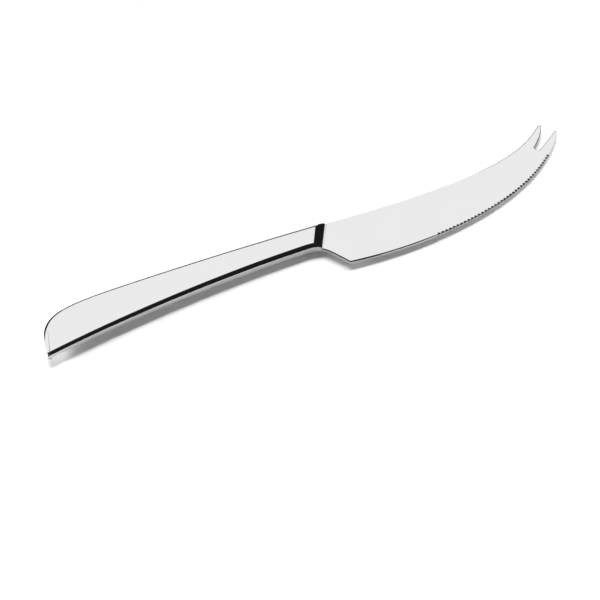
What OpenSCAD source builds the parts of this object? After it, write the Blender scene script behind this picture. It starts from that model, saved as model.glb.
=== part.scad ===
// Cheese knife with a hollow handle and a two-tined fork tip, lying on its flat side.
// The plan is drawn with zero at the back of the handle's mouth, the tip towards +X
// and the back of the knife towards +Y. It is then tipped so that the underside of
// the tapered handle lies level, and moved so that the origin is under its middle.

/* [Handle] */
// Length of the handle from the butt to the back of the mouth
handle_l = 116; // [105:1:130]
// Drop of the butt's front corner below the mouth's back
butt_w = 21.6; // [19:0.1:25]
// Drop of the handle's front side where the neck curve begins
neck_w = 11.1; // [10:0.1:12.5]
// Length of the neck curve inside the handle
neck_l = 16; // [13:0.5:20]
// Rise of the back where the rounding of the butt begins
back_rise = 0.85; // [0.3:0.05:1.5]
// Stretch of the back over which the butt is rounded off
butt_round_l = 33.3; // [25:0.1:40]
// Thickness at the mouth
neck_t = 5; // [4.6:0.1:6]
// Thickness at the butt
butt_t = 2.8; // [2.7:0.1:4]
// Radius that rolls the flat faces into the sides at the mouth
neck_roll_r = 1.9; // [1.3:0.1:2.1]
// The same radius at the butt
butt_roll_r = 1.25; // [0.9:0.05:1.3]
// Run of the sloped step from the flat face down to the blade
step_run = 3.3; // [2.6:0.1:3.8]
// Height of the lip that stands on the blade at the foot of the step
lip_h = 0.2; // [0.1:0.05:0.35]

/* [Blade] */
// Reach of the blade from the mouth's back to the tip of the outer tine
blade_l = 117.7; // [105:0.1:130]
// Distance of the heel in front of the mouth's back
heel_x = 3.2; // [2.5:0.1:4.5]
// Drop of the heel below the mouth's back
heel_drop = 23.4; // [21:0.1:25]
// Rise of the outer tine's tip above the mouth's back
outer_rise = 10.7; // [9.5:0.1:12]
// Distance of the inner tine's tip behind the outer one
tine_back = 4.8; // [4.2:0.1:5.4]
// Rise of the inner tine's tip above the mouth's back
inner_rise = 17.9; // [17:0.1:19]
// Width of each tine at its rounded tip
tine_tip_w = 1.05; // [0.8:0.05:1.2]
// Radius at the bottom of the fork's notch
notch_r = 1.4; // [1.1:0.1:1.6]
// Distance of the notch's round bottom behind the outer tip
notch_l = 13.2; // [11:0.1:14.5]
// Height of the notch's round bottom above the mouth's back
notch_y = 4.9; // [4.5:0.1:5.3]
// Thickness of the blade at the mouth
blade_neck_t = 1.8; // [1.7:0.1:2.2]
// Thickness of the blade at its tip
blade_tip_t = 1.2; // [1:0.1:1.6]
// Width of the ground bevel along the cutting edge
bevel_w = 0.3; // [0.2:0.05:0.5]
// Thickness left at the cutting edge
edge_t = 1.1; // [0.9:0.05:1.3]
// Easing of the blade's other edges
ease_w = 0.2; // [0.1:0.05:0.3]
// Pitch of the serrations
tooth_pitch = 1.82; // [1.6:0.02:2.4]
// Reach of the gullets' ground faces over the flat of the blade
tooth_depth = 0.5; // [0.3:0.05:0.7]

/* [Construction] */
// Sheet thickness of the half shells
shell_t = 0.8; // [0.5:0.05:0.9]
// Thickness of the brazed seam between the half shells
seam_t = 0.1; // [0.06:0.02:0.14]
// Clearance round the tang and inside the shells
fit_gap = 0.04; // [0.02:0.01:0.08]
// Reach of the tang behind the mouth's back
tang_l = 80; // [50:1:85]
// Width of the tang at the mouth
tang_root_w = 7.6; // [6:0.2:8]
// Diameter of the tang's rounded end
tang_end_w = 5; // [4:0.5:6]
// Thickness of the tang
tang_t = 1.5; // [1.1:0.1:1.6]
// Length of the solder fillet over the blade in front of the lip
solder_l = 1.6; // [0.8:0.1:2.2]

/* [Hidden] */
$fn = 48;

// Overrun of the cuts
over = seam_t;

// Counts of steps along the curves
back_n = 12;
butt_n = 18;
near_n = 22;
neck_n = 10;
plain_n = 8;
fading_n = 20;
tine_n = 16;
notch_n = 8;
round_n = 6;
roll_n = 5;
tooth_n = 4;
tine_teeth = 2;
table_n = 100;
fillet_n = 5;

// Handles of each curve, as shares of the box from its start to its end
back_shares = [[0.333, 1.25], [0.667, 1.58]];
butt_shares = [[0.82, 0.022], [0.98, 0.163]];
near_shares = [[0.334, 0.648], [0.738, 0.97]];
neck_shares = [[0.705, -0.012], [0.614, -0.088]];
spine_shares = [[0.797, -0.29], [0.909, 0.592]];
edge_shares = [[0.2, -0.098], [0.745, -0.103]];
// Places along the neck and spine curves where the foot of the step meets them,
// and where the blank of the handle ends before it is trimmed to that foot
neck_foot_share = 0.512;
spine_foot_share = 0.0109;
neck_blank_share = 0.66;
spine_blank_share = 0.024;
// Place along the spine across from the notch's bottom
spine_split_share = 0.62;
// Places along the cutting edge where the serrations start and end
tooth_start_share = 0.366;
tooth_end_share = 0.886;
// Depth of the gullets at the cutting edge, as a share of their reach over the flat
tooth_edge_share = 0.4;
// Share of the inner tine's side over which its curve leaves the notch straight
inner_side_share = 0.6;
// Place of the mouth's middle across the neck, and of the tang's end across the handle
tang_root_share = 0.5;
tang_end_share = 0.62;
// Place of the solder fillet's waist, as shares of its length and height
fillet_shares = [0.3, 0.15];

// Headings of the notch's two sides
inner_heading = 41;
outer_heading = 34;

function unit(v) = v / norm(v);
function left(v) = [-v[1], v[0]];
function heading(a) = [cos(a), sin(a)];
function flip(list) = [for (i = [len(list) - 1 : -1 : 0]) list[i]];
function bezier_at(p, t) =
    pow(1 - t, 3) * p[0] + 3 * t * pow(1 - t, 2) * p[1]
    + 3 * t * t * (1 - t) * p[2] + pow(t, 3) * p[3];
function bezier(p, n) = [for (i = [0 : n]) bezier_at(p, i / n)];
// The same without its first point, and only as far as the given place
function onward(p, n, place = 1) = [for (i = [1 : n]) bezier_at(p, place * i / n)];
// Curve from a to b whose two handles are shares of the box between them
function curve(a, b, shares) =
    [a, for (s = shares) [a[0] + (b[0] - a[0]) * s[0], a[1] + (b[1] - a[1]) * s[1]], b];
// Half circle from a to b that swells to the right of the way
function half_round(a, b, n) =
    let (m = (a + b) / 2, r = a - m)
    [for (i = [1 : n - 1]) let (w = 180 * i / n) m + r * cos(w) + left(r) * sin(w)];
// Direction that moves corner i of an outline inwards by one from both its sides
function miter(p, i) =
    let (n = len(p),
         a = left(unit(p[i] - p[(i + n - 1) % n])),
         b = left(unit(p[(i + 1) % n] - p[i])))
    (a + b) / (1 + a * b);
function inset(p, d) = [for (i = [0 : len(p) - 1]) p[i] + miter(p, i) * d];
// Triangles between neighbouring rungs, each given by the numbers of its two ends
function rungs(pairs) = [for (i = [0 : len(pairs) - 2])
    let (a = pairs[i], b = pairs[i + 1])
    each [[a[0], b[0], b[1]], [a[0], b[1], a[1]]]];

// Corner points of the plan
mouth_back = [0, 0];
back_end = [butt_round_l - handle_l, back_rise];
butt_corner = [-handle_l, -butt_w];
neck_start = [-neck_l, -neck_w];
heel = [heel_x, -heel_drop];
outer_tip = [blade_l, outer_rise];
inner_tip = [blade_l - tine_back, inner_rise];

// Curves of the plan, each from one corner point to the next
back_curve = curve(mouth_back, back_end, back_shares);
butt_curve = curve(back_end, butt_corner, butt_shares);
near_curve = curve(butt_corner, neck_start, near_shares);
neck_curve = curve(neck_start, heel, neck_shares);
edge_curve = curve(heel, outer_tip, edge_shares);
spine_curve = curve(mouth_back, inner_tip, spine_shares);

// Foot of the step: a slanting line from the neck curve to the spine
foot_near = bezier_at(neck_curve, neck_foot_share);
foot_back = bezier_at(spine_curve, spine_foot_share);
foot_way = foot_back - foot_near;
foot_angle = atan2(foot_way[1], foot_way[0]);

// Outline of the handle's blank, from the mouth's back round the butt to the neck.
// The way out along the back has as many points as the way in along the front.
handle_plan = concat(
    [bezier_at(spine_curve, spine_blank_share)],
    bezier(back_curve, back_n),
    onward(butt_curve, butt_n),
    onward(near_curve, near_n),
    onward(neck_curve, neck_n, neck_blank_share));

// Notch between the tines
notch_mid = [blade_l - notch_l, notch_y];
outer_side = outer_tip + left(heading(outer_heading)) * tine_tip_w;
inner_side = inner_tip - left(heading(inner_heading)) * tine_tip_w;
notch_arc = [for (i = [0 : notch_n])
    let (w = outer_heading + 270 + (inner_heading - outer_heading - 180) * i / notch_n)
    notch_mid + heading(w) * notch_r];
notch_end = notch_arc[notch_n];
side_l = norm(inner_side - notch_end);
inner_bend = notch_end + heading(inner_heading) * side_l * inner_side_share;
inner_curve = [notch_end, inner_bend, inner_bend, inner_side];
outer_round = half_round(outer_tip, outer_side, round_n);
inner_round = half_round(inner_side, inner_tip, round_n);

// Cutting edge as a table of length along it against place on its curve
edge_table = [for (i = 0, s = 0, p = heel; i <= table_n;
                   i = i + 1,
                   q = bezier_at(edge_curve, min(i / table_n, 1)),
                   s = s + norm(q - p),
                   p = q)
              [s, i / table_n]];
edge_start_l = lookup(tooth_start_share, [for (e = edge_table) [e[1], e[0]]]);
edge_end_l = lookup(tooth_end_share, [for (e = edge_table) [e[1], e[0]]]);
teeth = round((edge_end_l - edge_start_l) / tooth_pitch);
tooth_steps = teeth * tooth_n;

// Rim of the blade along the front: each point has its place on the edge curve,
// its position, how far the bevel reaches in from it, and the share of the blade's
// thickness that is bevelled away there. Where the serrations are, the inner end of
// the bevel is given as a point as well.
bevelled_share = 1 - edge_t / blade_neck_t;
eased_share = 2 * ease_w / blade_tip_t;
function gullet(k) = tooth_depth * (1 - cos(360 * k / tooth_n)) / 2;
function edge_normal(t) =
    left(unit(bezier_at(edge_curve, t + 1 / table_n) - bezier_at(edge_curve, t - 1 / table_n)));
neck_rim = [for (i = [0 : neck_n - 1])
    let (f = i / neck_n)
    [f - 1, bezier_at(neck_curve, neck_foot_share + (1 - neck_foot_share) * f),
     ease_w, eased_share]];
plain_rim = [for (i = [0 : plain_n])
    let (t = tooth_start_share * i / plain_n)
    [t, bezier_at(edge_curve, t), bevel_w, bevelled_share]];
tooth_rim = [for (k = [1 : tooth_steps])
    let (s = edge_start_l + (edge_end_l - edge_start_l) * k / tooth_steps,
         t = lookup(s, edge_table),
         p = bezier_at(edge_curve, t),
         way = edge_normal(t))
    [t, p + way * gullet(k) * tooth_edge_share, bevel_w, bevelled_share,
     p + way * (bevel_w + gullet(k))]];
fading_rim = [for (i = [1 : fading_n])
    let (f = i / fading_n, t = tooth_end_share + (1 - tooth_end_share) * f)
    [t, bezier_at(edge_curve, t), bevel_w + (ease_w - bevel_w) * f,
     bevelled_share + (eased_share - bevelled_share) * f]];
front_rim = concat(neck_rim, plain_rim, tooth_rim, fading_rim);
// Behind the notch the spine has a point for each one along the front, in the same
// order, and in the tines each side of the notch has one for each on the rim
split = len(neck_rim) + len(plain_rim) + (teeth - tine_teeth) * tooth_n - 1;
split_place = front_rim[split][0];
heel_spine_share = 3 * spine_foot_share;
function spine_place(t) = t < 0
    ? heel_spine_share + (heel_spine_share - spine_foot_share) * t
    : heel_spine_share + (spine_split_share - heel_spine_share) * t / split_place;
spine_points = [for (i = [0 : split]) bezier_at(spine_curve, spine_place(front_rim[i][0]))];
spine_tine = [for (i = [1 : tine_n])
    bezier_at(spine_curve, spine_split_share + (1 - spine_split_share) * i / tine_n)];
half_tip = round_n / 2;
half_notch = notch_n / 2;
outer_count = len(front_rim) - 1 - split + half_tip;
inner_count = tine_n + half_tip;
outer_side_n = outer_count - half_notch - half_tip + 1;
inner_side_n = inner_count - half_notch - half_tip + 1;
outer_wall = concat(
    [for (i = [half_notch - 1 : -1 : 0]) notch_arc[i]],
    [for (i = [1 : outer_side_n])
        notch_arc[0] + (outer_side - notch_arc[0]) * i / outer_side_n],
    [for (i = [round_n - 2 : -1 : half_tip]) outer_round[i]]);
inner_wall = concat(
    [for (i = [half_notch + 1 : notch_n]) notch_arc[i]],
    onward(inner_curve, inner_side_n),
    [for (i = [0 : half_tip - 2]) inner_round[i]]);
plain_points = concat(
    [for (i = [0 : half_tip - 1]) outer_round[i]],
    flip(outer_wall),
    [notch_arc[half_notch]],
    inner_wall,
    [for (i = [half_tip - 1 : round_n - 2]) inner_round[i]],
    flip(spine_tine),
    flip(spine_points));
blade_rim = concat(front_rim, [for (p = plain_points) [1, p, ease_w, eased_share]]);
blade_plan = [for (r = blade_rim) r[1]];
notch_i = split + 2 * outer_count + 1;
spine_i = notch_i + 2 * inner_count + 1;
blade_end = concat(
    rungs([for (i = [0 : split]) [i, len(blade_rim) - 1 - i]]),
    [[split, notch_i, spine_i]],
    rungs([for (i = [0 : outer_count]) [split + i, notch_i - i]]),
    rungs([for (i = [0 : inner_count]) [notch_i + i, spine_i - i]]));

// Level of things above the middle plane of the knife at a place x along it
function handle_half(x) = (neck_t + (neck_t - butt_t) * x / handle_l) / 2;
function roll_r(x) = neck_roll_r + (neck_roll_r - butt_roll_r) * x / handle_l;
function blade_half(x) = (blade_neck_t - (blade_neck_t - blade_tip_t) * x / blade_l) / 2;

// Sloped step
mouth_half = blade_neck_t / 2 + lip_h;
step_drop = neck_t / 2 - mouth_half;
step_slope = atan(step_drop / step_run);
wall_back = shell_t / sin(step_slope);

// Tang
tang_front = [foot_back[0] + tang_root_w / 2, -neck_w * tang_root_share];
tang_back = [tang_end_w / 2 - tang_l, -neck_w * tang_end_share];

// Placing in the frame of the part
outer_points = concat(handle_plan, [for (r = front_rim) r[1]], outer_round, inner_round);
plan_x = [for (p = outer_points) p[0]];
plan_y = [for (p = outer_points) p[1]];
middle = [(min(plan_x) + max(plan_x)) / 2, (min(plan_y) + max(plan_y)) / 2];
lie_angle = atan((neck_t - butt_t) / 2 / handle_l);

module lay_down() {
    translate([-middle[0], -middle[1], 0])
        rotate([0, -lie_angle, 0])
            translate([0, 0, neck_t / 2])
                children();
}

// Closed skin through a stack of rings, with the triangles that close its lower end
module stack(rings, end) {
    n = len(rings[0]);
    m = len(rings) - 1;
    sides = [for (l = [0 : m - 1], i = [0 : n - 1])
        let (j = (i + 1) % n, a = l * n, b = a + n)
        each [[a + i, b + i, b + j], [a + i, b + j, a + j]]];
    top = [for (f = end) [m * n + f[0], m * n + f[2], m * n + f[1]]];
    polyhedron([for (r = rings) each r], concat(end, sides, top));
}

// Upper half of the handle's blank, drawn in by shrink on every outer side
module half_blank(shrink, floor_z) {
    n = len(handle_plan);
    reach = [for (i = [0 : n - 1]) miter(handle_plan, i)];
    function ring(draw, z) = [for (i = [0 : n - 1])
        let (p = handle_plan[i],
             r = roll_r(p[0]) - shrink,
             q = p + reach[i] * (shrink + r * (1 - cos(draw))),
             h = handle_half(q[0]) - shrink - r * (1 - sin(draw)))
        [q[0], q[1], z == undef ? h : z]];
    stack(concat([ring(0, floor_z)], [for (k = [0 : roll_n]) ring(90 * k / roll_n)]),
          rungs([for (i = [0 : n / 2 - 1]) [i, n - 1 - i]]));
}

// Everything in front of the step, moved back by the given amount
module ahead_of_step(set_back) {
    far = neck_l;
    high = mouth_half + 2 * step_drop;
    translate([foot_back[0], foot_back[1], 0])
        rotate([90, 0, foot_angle - 90])
            translate([-set_back, 0, -neck_l])
                linear_extrude(height = 3 * neck_l)
                    polygon([[0, -mouth_half], [0, mouth_half], [-2 * step_run, high], [far, high],
                             [far, -high], [-2 * step_run, -high]]);
}

module tang_bar(grow) {
    translate([0, 0, -tang_t / 2 - grow])
        linear_extrude(height = tang_t + 2 * grow)
            union() {
                translate(tang_back) circle(d = tang_end_w + 2 * grow);
                polygon([tang_back + [0, tang_end_w / 2 + grow],
                         tang_back - [0, tang_end_w / 2 + grow],
                         tang_front - [0, tang_root_w / 2 + grow],
                         tang_front + [0, tang_root_w / 2 + grow]]);
            }
}

module shell_half() {
    difference() {
        half_blank(0, seam_t / 2);
        difference() {
            half_blank(shell_t, -over);
            ahead_of_step(wall_back);
        }
        ahead_of_step(0);
        tang_bar(fit_gap);
    }
}

module blade() {
    function ring(side, full) = [for (i = [0 : len(blade_rim) - 1])
        let (r = blade_rim[i],
             inner = r[4] == undef ? r[1] + miter(blade_plan, i) * r[2] : r[4],
             q = full ? inner : r[1],
             h = blade_half(q[0]) * (full ? 1 : 1 - r[3]))
        [q[0], q[1], side * h]];
    color("lightgray")
        lay_down()
            union() {
                stack([ring(-1, true), ring(-1, false), ring(1, false), ring(1, true)], blade_end);
                tang_bar(0);
            }
}

module handle_shell_face() {
    color("silver") lay_down() shell_half();
}

module handle_shell_back() {
    color("darkgray") lay_down() mirror([0, 0, 1]) shell_half();
}

module seam_braze() {
    color("gold")
        lay_down()
            difference() {
                translate([0, 0, -seam_t / 2])
                    linear_extrude(height = seam_t)
                        difference() {
                            polygon(handle_plan);
                            polygon(inset(handle_plan, shell_t));
                        }
                ahead_of_step(0);
            }
}

module solder_fillet() {
    way = norm(foot_way);
    low = blade_neck_t / 2;
    waist = [solder_l * fillet_shares[0], low + lip_h * fillet_shares[1]];
    translate([foot_back[0], foot_back[1], 0])
        rotate([90, 0, foot_angle - 90])
            linear_extrude(height = way)
                polygon(concat([[0, low]],
                    bezier([[solder_l, low], waist, waist, [0, low + lip_h]], fillet_n)));
}

module mouth_solder() {
    color("white") lay_down() {
        solder_fillet();
        mirror([0, 0, 1]) solder_fillet();
    }
}

module handle_cement() {
    color("tan")
        lay_down()
            difference() {
                union() {
                    half_blank(shell_t + fit_gap, -over);
                    mirror([0, 0, 1]) half_blank(shell_t + fit_gap, -over);
                }
                ahead_of_step(wall_back + fit_gap);
                tang_bar(fit_gap);
            }
}

blade();
handle_shell_face();
handle_shell_back();
seam_braze();
mouth_solder();
handle_cement();
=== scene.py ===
import bpy
import numpy as np
from mathutils import Matrix


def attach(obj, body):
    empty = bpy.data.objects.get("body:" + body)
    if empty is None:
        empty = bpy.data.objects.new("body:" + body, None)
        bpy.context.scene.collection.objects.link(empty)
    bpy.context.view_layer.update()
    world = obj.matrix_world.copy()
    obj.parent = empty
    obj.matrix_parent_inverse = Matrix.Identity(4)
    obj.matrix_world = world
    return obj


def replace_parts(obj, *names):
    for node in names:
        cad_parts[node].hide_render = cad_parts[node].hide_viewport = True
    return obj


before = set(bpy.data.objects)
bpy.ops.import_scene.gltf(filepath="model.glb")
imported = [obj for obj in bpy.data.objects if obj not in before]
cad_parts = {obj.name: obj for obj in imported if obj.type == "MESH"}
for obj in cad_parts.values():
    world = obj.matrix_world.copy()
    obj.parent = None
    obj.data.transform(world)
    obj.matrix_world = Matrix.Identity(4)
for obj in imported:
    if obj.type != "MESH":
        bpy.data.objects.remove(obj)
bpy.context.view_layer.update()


# Blade. One plate of stainless steel, blanked with its fork and its tang, ground to a
# narrow bevel along the front, with small gullets ground into the bevel, and polished
# to a mirror on both faces. The plan is in millimetres, from the back of the mouth.
handle_l, blade_l = 116.0, 117.7
butt_w, neck_w, neck_l = 21.6, 11.1, 16.0
neck_t, butt_t = 5.0, 2.8
blade_neck_t, blade_tip_t = 1.8, 1.2
mouth_back, heel = np.array([0.0, 0.0]), np.array([3.2, -23.4])
outer_tip, inner_tip = np.array([blade_l, 10.7]), np.array([112.9, 17.9])
butt_corner, neck_start = np.array([-handle_l, -butt_w]), np.array([-neck_l, -neck_w])
tine_tip_w, notch_r, notch_mid = 1.05, 1.4, np.array([104.5, 4.9])
outer_heading, inner_heading = np.radians(34.0), np.radians(41.0)

# The row's origin lies under the middle of the knife, and its handle lies level
middle = np.array([0.965, -3.381])
lie_angle = np.arctan((neck_t - butt_t) / 2 / handle_l)


def curve(a, b, shares, n, start=0.0, end=1.0):
    """Cubic from a to b. Its handles are shares of the box between them, and its points
    are weighted by (1-t)^3, 3t(1-t)^2, 3t^2(1-t) and t^3."""
    t = np.linspace(start, end, n)[:, None]
    p, q = a + (b - a) * shares[0], a + (b - a) * shares[1]
    return (1 - t) ** 3 * a + 3 * t * (1 - t) ** 2 * p + 3 * t ** 2 * (1 - t) * q + t ** 3 * b


def lengths(path):
    """Running length along a path."""
    return np.r_[0, np.cumsum(np.linalg.norm(np.diff(path, axis=0), axis=1))]


def along(path, s):
    """Points of a path at the given lengths."""
    own = lengths(path)
    return np.stack([np.interp(s, own, path[:, i]) for i in (0, 1)], -1)


def inward(path, closed=True):
    """Direction that moves each corner of an outline in by one from both its sides: the
    sum of the two unit normals over one plus their product."""
    if closed:
        before, after = path - np.roll(path, 1, 0), np.roll(path, -1, 0) - path
    else:
        step = np.diff(path, axis=0)
        before, after = np.vstack([step[:1], step]), np.vstack([step, step[-1:]])
    before, after = (np.stack([-v[:, 1], v[:, 0]], -1)
                     / np.linalg.norm(v, axis=1)[:, None] for v in (before, after))
    return (before + after) / (1 + (before * after).sum(1))[:, None]


def half_turn(a, b, n):
    """Half circle from a to b, to the right of the way, without its ends."""
    w = np.pi * np.arange(1, n)[:, None] / n
    centre, arm = (a + b) / 2, (a - b) / 2
    return centre + arm * np.cos(w) + np.array([-arm[1], arm[0]]) * np.sin(w)


def heading(angle):
    """Unit vector at an angle from +X."""
    return np.stack([np.cos(angle), np.sin(angle)], -1)


def laid(points):
    """From the level frame of the plan to the row: tipped so that the handle's underside
    is level, centred, and in metres."""
    c, s = np.cos(lie_angle), np.sin(lie_angle)
    x, y, z = points[..., 0], points[..., 1], points[..., 2] + neck_t / 2
    return np.stack([x * c - z * s - middle[0], y - middle[1], x * s + z * c], -1) / 1000


def laid_way(ways):
    """The same turn for directions."""
    c, s = np.cos(lie_angle), np.sin(lie_angle)
    x, y, z = ways[..., 0], ways[..., 1], ways[..., 2]
    return np.stack([x * c - z * s, y, x * s + z * c], -1)


class Skin:
    """Patches of faces with a normal at every corner, welded where their points meet."""

    welds_per_mm = 5e3

    def __init__(self):
        self.points, self.faces, self.ways, self.count = [], [], [], 0

    def grid(self, points, ways, turned=False, ring=False):
        """Quads over a grid of points (rows, columns, 3), closed along the columns if
        ring is set, with the surface's direction at each point."""
        if ring:
            points = np.concatenate([points, points[:, :1]], 1)
            ways = np.concatenate([ways, ways[:, :1]], 1)
        rows, columns = points.shape[:2]
        i = np.arange(rows * columns).reshape(rows, columns)
        quads = np.stack([i[:-1, :-1], i[:-1, 1:], i[1:, 1:], i[1:, :-1]], -1).reshape(-1, 4)
        if turned:
            quads = quads[:, ::-1]
        self.points.append(points.reshape(-1, 3))
        self.faces += (quads + self.count).tolist()
        self.ways += list(ways.reshape(-1, 3)[quads])
        self.count += rows * columns

    def face(self, points, way):
        """One flat face, drawn so that it faces the given way."""
        arms = points - points.mean(0)
        spun = np.cross(arms, np.roll(arms, -1, 0)).sum(0)
        if spun @ way < 0:
            points = points[::-1]
        n = len(points)
        self.points.append(points)
        self.faces.append(list(range(self.count, self.count + n)))
        self.ways.append(np.broadcast_to(way / np.linalg.norm(way), (n, 3)))
        self.count += n

    def piece(self, name, material):
        """The welded mesh as an object that rides with the knife."""
        points = np.concatenate(self.points)
        _, first, where = np.unique(np.round(points * self.welds_per_mm), axis=0,
                                    return_index=True, return_inverse=True)
        where = where.ravel()
        faces, ways = [], []
        for face, way in zip(self.faces, self.ways):
            ids = where[face]
            keep = ids != np.roll(ids, 1)
            if keep.sum() > 2:
                faces.append(ids[keep].tolist())
                ways.append(way[keep])
        mesh = bpy.data.meshes.new(name)
        mesh.from_pydata(laid(points[first]).tolist(), [], faces)
        mesh.polygons.foreach_set("use_smooth", np.ones(len(faces), bool))
        mesh.normals_split_custom_set(laid_way(np.concatenate(ways)).tolist())
        mesh.materials.append(material)
        made = bpy.data.objects.new(name, mesh)
        bpy.context.scene.collection.objects.link(made)
        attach(made, "root")
        return made


class Number:
    """A socket of a shader that adds Math nodes when it is used in an expression."""

    def __init__(self, shader, socket):
        self.shader, self.socket = shader, socket

    def maths(self, operation, *values):
        """The result of a Math node on these values, which are sockets or plain numbers."""
        made = self.shader.node("ShaderNodeMath", {"operation": operation},
                                dict(enumerate(values)))
        return Number(self.shader, made.outputs[0])

    def __add__(self, other):
        return self.maths("ADD", self, other)

    def __sub__(self, other):
        return self.maths("SUBTRACT", self, other)

    def __mul__(self, other):
        return self.maths("MULTIPLY", self, other)

    def __rsub__(self, other):
        return self.maths("SUBTRACT", other, self)

    def __gt__(self, limit):
        """Soft step at a limit given as (value, width)."""
        return self.stepped(limit[0] - limit[1] / 2, limit[0] + limit[1] / 2)

    def stepped(self, low, high, bottom=0.0, top=1.0):
        """Smooth rise from bottom to top, between the values low and high."""
        made = self.shader.node(
            "ShaderNodeMapRange", {"interpolation_type": "SMOOTHSTEP"},
            {"Value": self, "From Min": low, "From Max": high, "To Min": bottom, "To Max": top})
        return Number(self.shader, made.outputs[0])

    def highest(self, other):
        return self.maths("MAXIMUM", self, other)

    __radd__, __rmul__ = __add__, __mul__


class Shader:
    """Node tree of a material or of the world."""

    def __init__(self, owner):
        owner.use_nodes = True
        self.tree = owner.node_tree
        self.tree.nodes.clear()

    def node(self, kind, settings=(), sockets=()):
        """A new node with its settings, and with its sockets linked or filled."""
        made = self.tree.nodes.new(kind)
        for name, value in dict(settings).items():
            setattr(made, name, value)
        for name, value in dict(sockets).items():
            if isinstance(value, Number):
                value = value.socket
            if isinstance(value, bpy.types.NodeSocket):
                self.tree.links.new(value, made.inputs[name])
            else:
                made.inputs[name].default_value = value
        return made

    def number(self, node, output=0):
        return Number(self, node.outputs[output])

    def place(self, scale, turn=0.0):
        """Object coordinates turned about Z and stretched."""
        source = self.node("ShaderNodeTexCoord")
        moved = self.node("ShaderNodeMapping", {}, {
            "Vector": source.outputs["Object"], "Scale": scale, "Rotation": (0, 0, turn)})
        return moved.outputs[0]

    def noise(self, scale, turn=0.0, detail=2.0, roughness=0.5):
        made = self.node("ShaderNodeTexNoise", {}, {
            "Vector": self.place(scale, turn), "Scale": 1.0, "Detail": detail,
            "Roughness": roughness})
        return self.number(made, "Fac")


# Scales of the noises, then the greys of each between which it rises, and their strengths. The
# upright sides' streak grain, shade and streak strengths are painted shade, which darkens their
# colour in streaks.
buffing_grain, cloud_grain, hair_grain = (60, 2200, 900), (55, 55, 55), (260, 9000, 2000)
side_streak_grain, hair_turn, upright_limit = (40, 40, 3800), 0.5, 0.12
middle_greys, broad_greys, hair_greys = (0.3, 0.7), (0.25, 0.75), (0.70, 0.76)
cloud_rough, cloud_shade, scratch_rough, scratch_shade = 0.02, 0.985, 0.06, 0.01
side_painted_shade, side_shade_streak, scratch_bump, bump_depth = 0.5, 0.2, 0.3, 0.00002


def polished(name, tone, turn, gloss=0.035, lines=0.02, satin=0.25):
    """Mirror-polished steel: a trace of polishing lines along the piece, a slow unevenness
    of the buffed face and a few faint hairline scratches. Upright edges, where the square
    of the normal's height is small, are left satin and get painted shade in streaks."""
    material = bpy.data.materials.new(name)
    steel = Shader(material)
    buffing = steel.noise(buffing_grain, turn, 3.0)
    cloud = steel.noise(cloud_grain, turn)
    scratches = steel.noise(hair_grain, turn + hair_turn, 1.0).stepped(*hair_greys)
    facing = steel.node("ShaderNodeSeparateXYZ", {}, {
        0: steel.node("ShaderNodeTexCoord").outputs["Normal"]})
    level = steel.number(facing, 2)
    upright = 1 - (level * level > (upright_limit, upright_limit))
    streaks = steel.noise(side_streak_grain, turn, 2.0).stepped(*middle_greys)
    rough = (gloss + cloud.stepped(*middle_greys, 0.0, cloud_rough)
             + scratches * scratch_rough + upright * satin)
    shade = cloud.stepped(*broad_greys, cloud_shade, 1.0) - scratches * scratch_shade
    # Painted shade: the colour of upright sides is darkened by 0.3 to 0.5, least where the
    # streaks are strongest
    shade = shade - upright * (side_painted_shade - streaks * side_shade_streak)
    colour = steel.node("ShaderNodeMix", {"data_type": "RGBA", "blend_type": "MULTIPLY"}, {
        0: 1.0, 6: (*tone, 1), 7: shade})
    bump = steel.node("ShaderNodeBump", {}, {
        "Strength": lines, "Distance": bump_depth,
        "Height": buffing + scratches * scratch_bump})
    shader = steel.node("ShaderNodeBsdfPrincipled", {}, {
        "Base Color": colour.outputs[2], "Metallic": 1.0, "Roughness": rough,
        "Normal": bump.outputs[0]})
    steel.node("ShaderNodeOutputMaterial", {}, {"Surface": shader.outputs[0]})
    return material


neck_shares = np.array([[0.705, -0.012], [0.614, -0.088]])
spine_shares = np.array([[0.797, -0.29], [0.909, 0.592]])
edge_shares = np.array([[0.2, -0.098], [0.745, -0.103]])
neck_foot_share, spine_foot_share = 0.512, 0.0109
gullets, gullet_start, gullet_end, gullet_steps = 39, 37.54, 108.47, 12
gullet_reach, gullet_depth, gullet_drop = 0.55, 0.2, 0.48
bevel_w, bevel_drop, ease_w, ease_drop, edge_round = 0.3, 0.55, 0.1, 0.12, 0.07
spine_ease_w, spine_ease_drop = 0.30, 0.09
neck_steps, edge_steps, plain_steps, fading_steps, spine_steps = 50, 1500, 70, 50, 320
tip_steps, wall_steps, notch_steps, inner_bend_share = 14, 46, 40, 0.6

# Outline of the plate: neck, cutting edge, outer tine, notch, inner tine and spine
neck_line = curve(neck_start, heel, neck_shares, neck_steps, neck_foot_share)
edge_curve = curve(heel, outer_tip, edge_shares, edge_steps)
edge_s = lengths(edge_curve)
plain_s = np.linspace(0, gullet_start, plain_steps)
gullet_s = np.linspace(gullet_start, gullet_end, gullets * gullet_steps + 1)
fading_s = np.linspace(gullet_end, edge_s[-1], fading_steps)
front_s = np.r_[plain_s[1:], gullet_s[1:], fading_s[1:]]
edge_line = along(edge_curve, front_s)
outer_side = outer_tip + heading(outer_heading + np.pi / 2) * tine_tip_w
inner_side = inner_tip - heading(inner_heading + np.pi / 2) * tine_tip_w
notch_way = outer_heading + 1.5 * np.pi - np.linspace(0, 1, notch_steps) * (
    np.pi + outer_heading - inner_heading)
notch_arc = notch_mid + heading(notch_way) * notch_r
bend = notch_arc[-1] + heading(inner_heading) * np.linalg.norm(
    inner_side - notch_arc[-1]) * inner_bend_share
t = np.linspace(0, 1, wall_steps)[1:, None]
inner_wall = (1 - t) ** 3 * notch_arc[-1] + 3 * t * (1 - t) * bend + t ** 3 * inner_side
outer_wall = outer_side + (notch_arc[0] - outer_side) * t[:-1]
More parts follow.
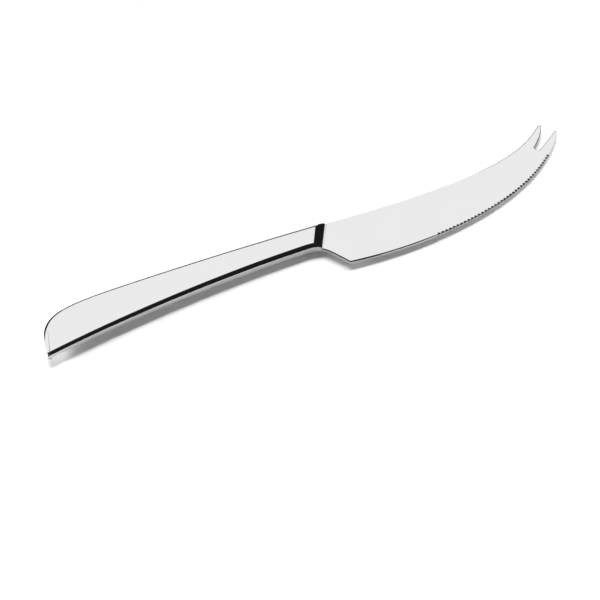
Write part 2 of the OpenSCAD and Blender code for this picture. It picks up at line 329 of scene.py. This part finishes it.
spine_line = curve(mouth_back, inner_tip, spine_shares, spine_steps, 1.0, spine_foot_share)
outline = np.concatenate([
    neck_line, edge_line, half_turn(outer_tip, outer_side, tip_steps), [outer_side],
    outer_wall, notch_arc, inner_wall, half_turn(inner_side, inner_tip, tip_steps),
    spine_line])

# Along the front the bevel is wide up to the gullets, narrow between the first ones and
# wider again between the last. The rest of the outline is only eased, and this ease lies
# wider and flatter on the tines and towards the end of the spine
n, first = len(outline), len(neck_line)
last = first + len(edge_line)
bevel_at = [0, 5, 11, 15, 34, 38, 64, 76, 104, edge_s[-1]]
bevel_share = [0.8, 1.1, 0.9, 0.6, 0.5, 0.1, 0.1, 0.4, 0.4, 0.3]
spine_at, spine_share, tine_share = [62, 80, 100], [0, 0.9, 1], 0.8
bevel = np.zeros(n)
bevel[:first] = bevel_share[0]
bevel[first:last] = np.interp(front_s, bevel_at, bevel_share)
back_ease = np.zeros(n)
back_ease[last:] = tine_share
back_ease[-len(spine_line):] = np.interp(spine_line[:, 0], spine_at, spine_share)
phase = (front_s - gullet_start) / (gullet_end - gullet_start)
wave = np.zeros(n)
wave[first:last] = np.where((phase > 0) & (phase < 1),
                            np.sin(np.pi * phase * gullets) ** 2, 0)
reach = (ease_w + (bevel_w - ease_w) * bevel + (spine_ease_w - ease_w) * back_ease
         + gullet_reach * wave)
drop = (ease_drop + (bevel_drop - ease_drop) * bevel
        + (spine_ease_drop - ease_drop) * back_ease + gullet_drop * wave)
way_in = inward(outline)
wall = outline + way_in * (gullet_depth * wave)[:, None]


def blade_half(x):
    """Half the blade's thickness, which falls evenly from the mouth to the tip."""
    return (blade_neck_t - (blade_neck_t - blade_tip_t) * x / blade_l) / 2


# Underneath, the front is ground away further towards the tip, where the edge thins
thin_w, thin_drop, thin_start, thin_end = 0.9, 0.5, 30, 80
thinned = np.zeros(n)
thinned[first:last] = np.interp(front_s, [thin_start, thin_end], [0, 1])
thinned[last:last + tip_steps] = np.linspace(1, 0, tip_steps)


def plate_rings(side, reach, drop):
    """Rings from the flat over the rounded bevel to the middle of the wall, each a turn
    of the surface's tilt: an arc, the straight bevel and a second arc."""
    tilt = np.arctan2(drop, reach)
    upper, lower = edge_round * np.tan(tilt / 2), edge_round * np.tan((np.pi / 2 - tilt) / 2)
    rows = []
    for share in (0.0, 0.5, 1.0):
        w = tilt * share
        rows.append((reach + upper - edge_round * np.sin(w), edge_round * (1 - np.cos(w)), w))
    for share in (0.0, 0.5, 1.0):
        w = tilt + (np.pi / 2 - tilt) * share
        rows.append((edge_round * (1 - np.sin(w)),
                     drop + lower - edge_round * np.cos(w), w))
    points, ways = [], []
    for inset, down, w in rows:
        q = wall + way_in * inset[:, None]
        out = -np.stack([np.gradient(q[:, 0]), np.gradient(q[:, 1])], -1)
        out = np.stack([-out[:, 1], out[:, 0]], -1)
        out /= np.linalg.norm(out, axis=1)[:, None]
        points.append(np.column_stack([q, side * (blade_half(q[:, 0]) - down)]))
        ways.append(np.column_stack([out * np.sin(w)[:, None], side * np.cos(w)]))
    return np.array(points), np.array(ways)


steel_tone, flat_lean = (0.83, 0.83, 0.83), 0.0025
blade_steel = polished("blade steel", steel_tone, turn=0.05)
skin = Skin()
top, top_ways = plate_rings(1, reach, drop)
low, low_ways = plate_rings(-1, np.maximum(reach, thin_w * thinned),
                            np.maximum(drop, thin_drop * thinned))
skin.grid(top, top_ways, True, True)
skin.grid(low, low_ways, False, True)
skin.grid(np.array([top[-1], low[-1]]), np.array([top_ways[-1], low_ways[-1]]), True, True)
skin.face(top[0], np.array([flat_lean, 0, 1]))
skin.face(low[0], np.array([flat_lean, 0, -1]))

# Tang, a bar with a rounded end that runs back inside the handle
tang_l, tang_root_w, tang_end_w, tang_t, tang_lap = 80.0, 7.6, 5.0, 1.5, 0.5
tang_end_steps = 16
tang_end_y, tang_root_y = -neck_w * 0.62, -neck_w * 0.5
tang_x = tang_end_w / 2 - tang_l
tang_corners = np.array([[tang_x, tang_end_y + tang_end_w / 2],
                         [tang_x, tang_end_y - tang_end_w / 2]])
tang_plan = np.vstack([
    [tang_lap, tang_root_y + tang_root_w / 2], tang_corners[0],
    half_turn(*tang_corners, tang_end_steps), tang_corners[1],
    [tang_lap, tang_root_y - tang_root_w / 2]])
tang_out = -inward(tang_plan)
tang_out /= np.linalg.norm(tang_out, axis=1)[:, None]
bar = np.array([np.column_stack([tang_plan, np.full(len(tang_plan), z)])
                for z in (tang_t / 2, -tang_t / 2)])
bar_ways = np.array([np.column_stack([tang_out, np.zeros(len(tang_out))])] * 2)
skin.grid(bar, bar_ways, True, True)
skin.face(bar[0], np.array([0, 0, 1.0]))
skin.face(bar[1], np.array([0, 0, -1.0]))
blade = skin.piece("polished_blade", blade_steel)
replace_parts(blade, "blade")


# Handle. Two half shells pressed from 0.8 mm stainless sheet, each with a flat face that
# rolls into the sides and drops in a slanting step to the blade, joined round the middle.
# The whole is ground smooth and polished to the same mirror as the blade.
neck_roll_r, butt_roll_r = 1.75, 1.25
butt_round_l, back_rise = 33.3, 0.85
step_run, lip_h, shell_t, seam_t = 3.3, 0.2, 0.8, 0.1
spine_past_share, neck_past_share = 0.024, 0.66
step_columns, side_columns, mouth_columns, halvings = 25, 260, 200, 40
back_shares = np.array([[0.333, 1.25], [0.667, 1.58]])
butt_shares = np.array([[0.82, 0.022], [0.98, 0.163]])
near_shares = np.array([[0.334, 0.648], [0.738, 0.97]])
back_end = np.array([butt_round_l - handle_l, back_rise])
foot_near = curve(neck_start, heel, neck_shares, 2, 0, neck_foot_share)[1]
foot_back = curve(mouth_back, inner_tip, spine_shares, 2, 0, spine_foot_share)[1]
foot_way = (foot_back - foot_near) / np.linalg.norm(foot_back - foot_near)
ahead = np.array([foot_way[1], -foot_way[0]])
mouth_half = blade_neck_t / 2 + lip_h
step_slope = (neck_t / 2 - mouth_half) / step_run
wall_back = shell_t / np.sin(np.arctan(step_slope))
past_steps, back_steps, butt_steps, near_steps, heel_steps = 40, 240, 700, 420, 260
handle_back = np.concatenate([
    curve(mouth_back, inner_tip, spine_shares, past_steps, spine_past_share, 0.0)[:-1],
    curve(mouth_back, back_end, back_shares, back_steps)[:-1],
    curve(back_end, butt_corner, butt_shares, butt_steps)])
handle_near = np.concatenate([
    curve(butt_corner, neck_start, near_shares, near_steps)[:-1],
    curve(neck_start, heel, neck_shares, heel_steps, 0.0, neck_past_share)])

# The roll is a chain of arcs, each with the tilt at which it ends and its radius: a small
# one off the upright side, a broad shoulder and a small one into the flat. The second
# radius follows from the first, third and last, so that the whole reaches in by one
bends = np.radians([90.0, 62.0, 26.0, 16.0, 0.0])
bend_r, bend_steps = np.array([0.2, 0.0, 4.0, 0.1]), (5, 12, 4, 4)
sweep = np.sin(bends[:-1]) - np.sin(bends[1:])
bend_r[1] = (1 - (bend_r * sweep).sum()) / sweep[1]
roll_tilt = np.concatenate([np.linspace(bends[i], bends[i + 1], steps, endpoint=False)
                            for i, steps in enumerate(bend_steps)] + [[0.0]])
own_r = np.repeat(bend_r, bend_steps)
roll_inset = np.r_[0, np.cumsum(-own_r * np.diff(np.sin(roll_tilt)))]
roll_depth = np.r_[0, np.cumsum(-own_r * np.diff(np.cos(roll_tilt)))]
roll_depth -= roll_depth[-1]
roll_rows = np.linspace(0, 1, len(roll_tilt))


def roll_at(share):
    """Inset from the side, depth below the flat and tilt of the surface of a roll of
    radius one, from the upright side at 0 to the flat at 1, read along the chain."""
    return [np.interp(share, roll_rows, v) for v in (roll_inset, roll_depth, roll_tilt)]


def handle_half(x):
    """Half the handle's thickness, which falls evenly from the mouth to the butt."""
    return (neck_t + (neck_t - butt_t) * x / handle_l) / 2


def roll_r(x):
    """Radius of the roll between the flat face and the side."""
    return neck_roll_r + (neck_roll_r - butt_roll_r) * x / handle_l


def half_shell_columns(shrink, set_back):
    """Columns up the back and the near side of a half shell, drawn in by shrink: for each
    side its points (rows, columns, 3) and their directions. Along the step, beside its
    sloping edge, each roll stops where it meets the step's plane."""
    corner = len(handle_back) - 1
    whole = np.concatenate([handle_back, handle_near[1:]])
    way = inward(whole, closed=False)
    sides = [inward(handle_back, False), inward(handle_near, False)]
    sides = [-s / np.linalg.norm(s, axis=1)[:, None] for s in sides]

    def column(p, m, draw):
        r = roll_r(p[:, 0]) - shrink
        inset, depth, lean = roll_at(draw)
        q = p + m * (shrink + r * inset)[:, None]
        z = handle_half(q[:, 0]) - shrink - r * depth
        behind = (foot_back - q) @ ahead - set_back
        return q, z, z - mouth_half - step_slope * behind, behind, lean

    made = []
    for part, (lo, hi) in enumerate(((0, corner + 1), (corner, len(whole)))):
        p, m, out = whole[lo:hi], way[lo:hi], sides[part]
        if part:
            p, m, out = p[::-1], m[::-1], out[::-1]
        place = np.arange(len(p), dtype=float)
        behind = column(p, m, np.zeros(len(p)))[3]
        over = column(p, m, np.ones(len(p)))[2]
        mouth = slice(0, mouth_columns)
        start = np.interp(0, behind[mouth], place[mouth])
        top = np.interp(0, -over[mouth], place[mouth])
        columns = np.r_[np.linspace(start, top, step_columns),
                        np.linspace(top, len(p) - 1, side_columns)[1:]]
        p, m, out = (np.stack([np.interp(columns, place, v[:, i]) for i in (0, 1)], -1)
                     for v in (p, m, out))
        low, high = np.zeros(len(p)), np.ones(len(p))
        for _ in range(halvings):
            mid = (low + high) / 2
            under = column(p, m, mid)[2] < 0
            low, high = np.where(under, mid, low), np.where(under, high, mid)
        limit = np.where(np.arange(len(p)) < step_columns - 1, high, 1)
        points, ways = [], []
        for row in roll_rows:
            q, z, _, _, lean = column(p, m, row * limit)
            points.append(np.column_stack([q, z]))
            ways.append(np.column_stack([out * np.sin(lean)[:, None], np.cos(lean)]))
        points, ways = np.array(points), np.array(ways)
        rim = points[:1].copy()
        rim[..., 2] = seam_t / 2
        points, ways = np.concatenate([rim, points]), np.concatenate([ways[:1], ways])
        if part:
            points, ways = points[:, ::-1], ways[:, ::-1]
        made.append((points, ways))
    return made


def add_half(skin, side, shrink, set_back, hollow):
    """Side, flat, step and front of one half shell. Inside, the same faces turn inwards."""
    back, near = half_shell_columns(shrink, set_back)
    flip = np.array([1, 1, side])
    sign = -1 if hollow else 1
    turned = (side < 0) != hollow
    for points, ways in (back, near):
        skin.grid(points * flip, ways * flip * sign, turned)
    back_p, near_p = back[0] * flip, near[0] * flip
    flat = np.concatenate([back_p[-1, step_columns - 1:], near_p[-1, 1:1 - step_columns]])
    skin.face(flat, np.array([-(neck_t - butt_t) / 2 / handle_l, 0, side]) * sign)
    rungs = np.stack([back_p[-1, :step_columns], near_p[-1, ::-1][:step_columns]])
    slope = np.array([ahead[0] * step_slope, ahead[1] * step_slope, side])
    slope = slope / np.linalg.norm(slope) * sign
    skin.grid(rungs, np.broadcast_to(slope, rungs.shape), turned)
    front = np.concatenate([back_p[:, 0], near_p[::-1, -1]])
    skin.face(front, np.array([ahead[0], ahead[1], 0]) * sign)
    return np.concatenate([back_p[0], near_p[0, 1:]])


def half_shell(name, node, side, material):
    """One pressed half: outer skin, inner skin, and the rim where the two halves join.
    Gives the outer line of the rim."""
    skin = Skin()
    outer = add_half(skin, side, 0.0, 0.0, False)
    inner = add_half(skin, side, shell_t, wall_back, True)
    rim = np.stack([np.vstack([outer, outer[:1]]), np.vstack([inner, inner[:1]])])
    skin.grid(rim, np.broadcast_to(np.array([0, 0, -side]), rim.shape), side > 0)
    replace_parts(skin.piece(name, material), node)
    return outer


handle_steel = polished("handle steel", steel_tone, turn=0.0)
rim_line = half_shell("upper_handle_shell", "handle_shell_face", 1, handle_steel)
half_shell("lower_handle_shell", "handle_shell_back", -1, handle_steel)


# Seam. A hair of silver braze between the two half shells, drawn in by heat all round
# the rim and ground flush with their sides, where it hardly shows.
braze_reach = 0.5
braze_metal = polished("silver braze", (0.80, 0.80, 0.78), turn=0.0, gloss=0.06)
skin = Skin()
rim_in = np.column_stack([
    rim_line[:, :2] + inward(rim_line[:, :2], False) * braze_reach, rim_line[:, 2]])
band = [np.column_stack([p[:, :2], np.full(len(p), z)])
        for p, z in ((rim_line, seam_t / 2), (rim_line, -seam_t / 2),
                     (rim_in, -seam_t / 2), (rim_in, seam_t / 2), (rim_line, seam_t / 2))]
side_way = -inward(rim_line[:, :2], False)
side_way /= np.linalg.norm(side_way, axis=1)[:, None]
side_way = np.column_stack([side_way, np.zeros(len(side_way))])
up = np.broadcast_to(np.array([0, 0, 1.0]), side_way.shape)
for a, b, ways in ((0, 1, side_way), (1, 2, -up), (2, 3, -side_way), (3, 4, up)):
    skin.grid(np.array([band[a], band[b]]), np.array([ways, ways]), True)
for end in (0, -1):
    skin.face(np.array([row[end] for row in band[:4]]), np.array([*ahead, 0]))
braze = skin.piece("seam_line", braze_metal)
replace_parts(braze, "seam_braze")


# Mouth. A fillet of solder on both faces, where the blade leaves the handle's mouth. It
# closes the slot against water, and is wiped to a hollow and polished with the blade.
solder_l, solder_shares, solder_sink = 1.6, (0.3, 0.15), 0.02
solder_rings, solder_steps = 14, 30
# Its grey, darker than the steel's, is partly the solder's own duller tone and partly painted
# shade in the crease at the mouth
solder_metal = polished("mouth solder", (0.75, 0.75, 0.75), turn=1.0, gloss=0.05)
skin = Skin()
t = np.linspace(0, 1, solder_rings)
foot_z = blade_neck_t / 2 - solder_sink
run_out = (1 - t) ** 3 * solder_l + 3 * t * (1 - t) * solder_l * solder_shares[0]
climb = (t ** 3 + 3 * t * (1 - t) * solder_shares[1]) * (lip_h + solder_sink)
lean = np.stack([-np.gradient(climb), np.gradient(run_out)], -1)
lean /= np.linalg.norm(lean, axis=1)[:, None]
across = np.linspace(0, 1, solder_steps)[:, None]
foot = foot_near + (foot_back - foot_near) * across
for side in (1, -1):
    rows = np.array([
        np.column_stack([foot + ahead * a, np.full(solder_steps, side * (foot_z + b))])
        for a, b in zip(run_out, climb)])
    ways = np.array([np.broadcast_to(np.array([-ahead[0] * u, -ahead[1] * u, -side * v]),
                                     (solder_steps, 3)) for u, v in lean])
    skin.grid(rows, ways, side < 0)
    base = np.array([rows[0], np.column_stack([foot, np.full(solder_steps, side * foot_z)])])
    skin.grid(base, np.broadcast_to(np.array([0, 0, -side]), base.shape), side > 0)
    rear = np.array([rows[-1], base[1]])
    skin.grid(rear, np.broadcast_to(-np.array([*ahead, 0]), rear.shape), side < 0)
    for end, way in ((0, -foot_way), (-1, foot_way)):
        skin.face(np.vstack([rows[:, end], base[1][end]]), np.array([*way, 0]))
solder = skin.piece("solder_fillet", solder_metal)
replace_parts(solder, "mouth_solder")


# Filler. Resin cement poured into the hollow handle, which holds the tang. It can't be
# seen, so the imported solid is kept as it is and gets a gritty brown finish.
grit_scale, dark_grit, pale_grit = (2600,) * 3, (0.34, 0.29, 0.22, 1), (0.50, 0.43, 0.34, 1)
filler = bpy.data.materials.new("handle filler")
grit = Shader(filler)
grain = grit.noise(grit_scale, detail=4.0)
tint = grit.node("ShaderNodeMix", {"data_type": "RGBA"}, {
    0: grain, 6: dark_grit, 7: pale_grit})
lumps = grit.node("ShaderNodeBump", {}, {"Strength": 0.4, "Distance": 0.0001, "Height": grain})
body = grit.node("ShaderNodeBsdfPrincipled", {}, {
    "Base Color": tint.outputs[2], "Roughness": grain.stepped(0.2, 0.8, 0.75, 0.95),
    "Normal": lumps.outputs[0]})
grit.node("ShaderNodeOutputMaterial", {}, {"Surface": body.outputs[0]})
for cement_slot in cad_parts["handle_cement"].material_slots:
    cement_slot.material = filler


# Setting. A pale floor without an edge in view, a strip light behind the knife that
# throws its shadow forward, and a white room with dark parts, which the polished steel
# shows as its black lines. The floor is tipped a little, with the butt raised off it.
view_turn, view_rise, view_far = np.radians(-24.2), np.radians(46.5), 0.4505
view_heading = np.array([-np.sin(view_turn), np.cos(view_turn)])
floor_half, floor_tip, floor_hinge = 4.0, np.radians(1.2), -0.001
floor_corners = [[x, y, (x - floor_hinge) * np.tan(floor_tip)]
                 for x, y in floor_half * np.array([[-1, -1], [1, -1], [1, 1], [-1, 1]])]
floor_mesh = bpy.data.meshes.new("floor")
floor_mesh.from_pydata(floor_corners, [], [(0, 1, 2, 3)])
floor = bpy.data.objects.new("floor", floor_mesh)
bpy.context.scene.collection.objects.link(floor)
pale = bpy.data.materials.new("pale floor")
sheet = Shader(pale)
floor_rays = sheet.node("ShaderNodeLightPath")
floor_camera, floor_glossy, floor_through = (
    sheet.number(floor_rays, f"Is {kind} Ray") for kind in ("Camera", "Glossy", "Transmission"))
seen = floor_camera.highest(floor_glossy).highest(floor_through)
floor_glow, floor_tone = 0.06, (0.9, 0.9, 0.9, 1)
glow = sheet.node("ShaderNodeEmission", {}, {
    "Color": (1, 1, 1, 1), "Strength": seen * floor_glow})
matt = sheet.node("ShaderNodeBsdfDiffuse", {}, {"Color": floor_tone})
both = sheet.node("ShaderNodeAddShader", {}, {0: matt.outputs[0], 1: glow.outputs[0]})
sheet.node("ShaderNodeOutputMaterial", {}, {"Surface": both.outputs[0]})
floor.data.materials.append(pale)

room = bpy.data.worlds.new("studio room")
bpy.context.scene.world = room
air = Shader(room)
room_rays = air.node("ShaderNodeLightPath")
direction = air.node("ShaderNodeTexCoord").outputs["Generated"]
turned = air.node("ShaderNodeVectorRotate", {"rotation_type": "Z_AXIS"}, {
    "Vector": direction, "Angle": -view_turn})
parts = air.node("ShaderNodeSeparateXYZ", {}, {"Vector": turned.outputs[0]})
right, forward, high = (air.number(parts, i) for i in (0, 1, 2))
degrees = 180 / np.pi
rise = high.maths("ARCSINE", high) * degrees
compass = right.maths("ARCTAN2", right, forward) * degrees
back_compass = right.maths("ARCTAN2", right * -1.0, forward * -1.0) * degrees + 180


def between(value, low, high, soft):
    """One between two limits, falling softly to nothing outside them."""
    return (value > (low, soft)) * (1 - (value > (high, soft)))


# The dark parts, in degrees round the view and above the horizon: a low band that runs
# round in front, two columns and an arch that stand on it, and a band behind the knife
low_band = between(back_compass, 26, 252, 5) * (1 - (rise > (37, 5)))
high_column = between(back_compass, 105, 173, 6) * (1 - (rise > (78, 5)))
low_column = between(back_compass, 170, 216, 6) * (1 - (rise > (58, 6)))
arch = between(back_compass, 12, 176, 6) * between(rise, 57, 86, 4)
far_band = between(compass, -55, 24, 6) * (1 - (rise > (27, 5)))
dark = low_band.highest(high_column).highest(low_column).highest(arch).highest(far_band)
darkness, soft_light = 0.988, 0.12
panorama = 1 - dark * darkness
glossy = air.number(room_rays, "Is Glossy Ray")
direct = air.number(room_rays, "Is Camera Ray").highest(
    air.number(room_rays, "Is Transmission Ray"))
strength = direct + glossy * panorama + (1 - direct.highest(glossy)) * soft_light
sky = air.node("ShaderNodeBackground", {}, {"Color": (1, 1, 1, 1), "Strength": strength})
air.node("ShaderNodeOutputWorld", {}, {"Surface": sky.outputs[0]})


def aimed(place, target, up=(0, 0, 1)):
    """Matrix of a lamp or camera at a place that looks at a target."""
    back = np.asarray(place) - target
    back /= np.linalg.norm(back)
    side = np.cross(up, back)
    side /= np.linalg.norm(side)
    made = np.eye(4)
    made[:3, 0], made[:3, 1], made[:3, 2], made[:3, 3] = side, np.cross(back, side), back, place
    return Matrix(made.tolist())


# The key light is a strip box behind the knife, a little to the right: a row of soft
# suns, each so far along (in shares of its distance). A wide lamp softens its shadow
strip_suns, strip_rise, strip_spread, strip_share = 5, 63, 18, 0.70
strip = [(f"strip lamp {i + 1}", strip_rise, strip_spread, strip_share / strip_suns, reach)
         for i, reach in enumerate(np.linspace(-0.6, 0.2, strip_suns))]
for name, lamp_rise, spread, share, reach in [*strip, ("wide lamp", 54, 36, 0.22, -0.2)]:
    lamp_rise = np.radians(lamp_rise)
    lamp_way = np.array([-reach, np.cos(lamp_rise), np.sin(lamp_rise)])
    lamp_way /= np.linalg.norm(lamp_way)
    lamp_data = bpy.data.lights.new(name, "SUN")
    lamp_data.angle = np.radians(spread)
    lamp_data.energy = share * np.pi / lamp_way[2]
    lamp = bpy.data.objects.new(name, lamp_data)
    bpy.context.scene.collection.objects.link(lamp)
    lamp.matrix_world = aimed(lamp_way, np.zeros(3))
    lamp.visible_glossy = False

# Two small low lamps, one beyond the butt and one before the tip, light the floor there
for name, power, size, spot in (("butt lamp", 0.8, 0.016, (-0.227, 0.015, 0.034)),
                                ("tip lamp", 0.3, 0.03, (0.19, -0.10, 0.06))):
    lamp_data = bpy.data.lights.new(name, "POINT")
    lamp_data.energy, lamp_data.shadow_soft_size = power, size
    lamp = bpy.data.objects.new(name, lamp_data)
    bpy.context.scene.collection.objects.link(lamp)
    lamp.location = spot
    lamp.visible_camera = lamp.visible_glossy = False

# Camera at the photograph's angle and frame
aim = np.array([-0.02250604, -0.02771557, 0.0])
camera_data = bpy.data.cameras.new("camera")
camera_data.sensor_width, camera_data.lens = 36, 72
camera_object = bpy.data.objects.new("camera", camera_data)
bpy.context.scene.collection.objects.link(camera_object)
camera_place = aim + view_far * np.array([
    *(-view_heading * np.cos(view_rise)), np.sin(view_rise)])
camera_object.matrix_world = aimed(camera_place, aim)
camera_data.clip_start = 0.01
bpy.context.scene.camera = camera_object
bpy.context.scene.view_settings.view_transform = "Standard"
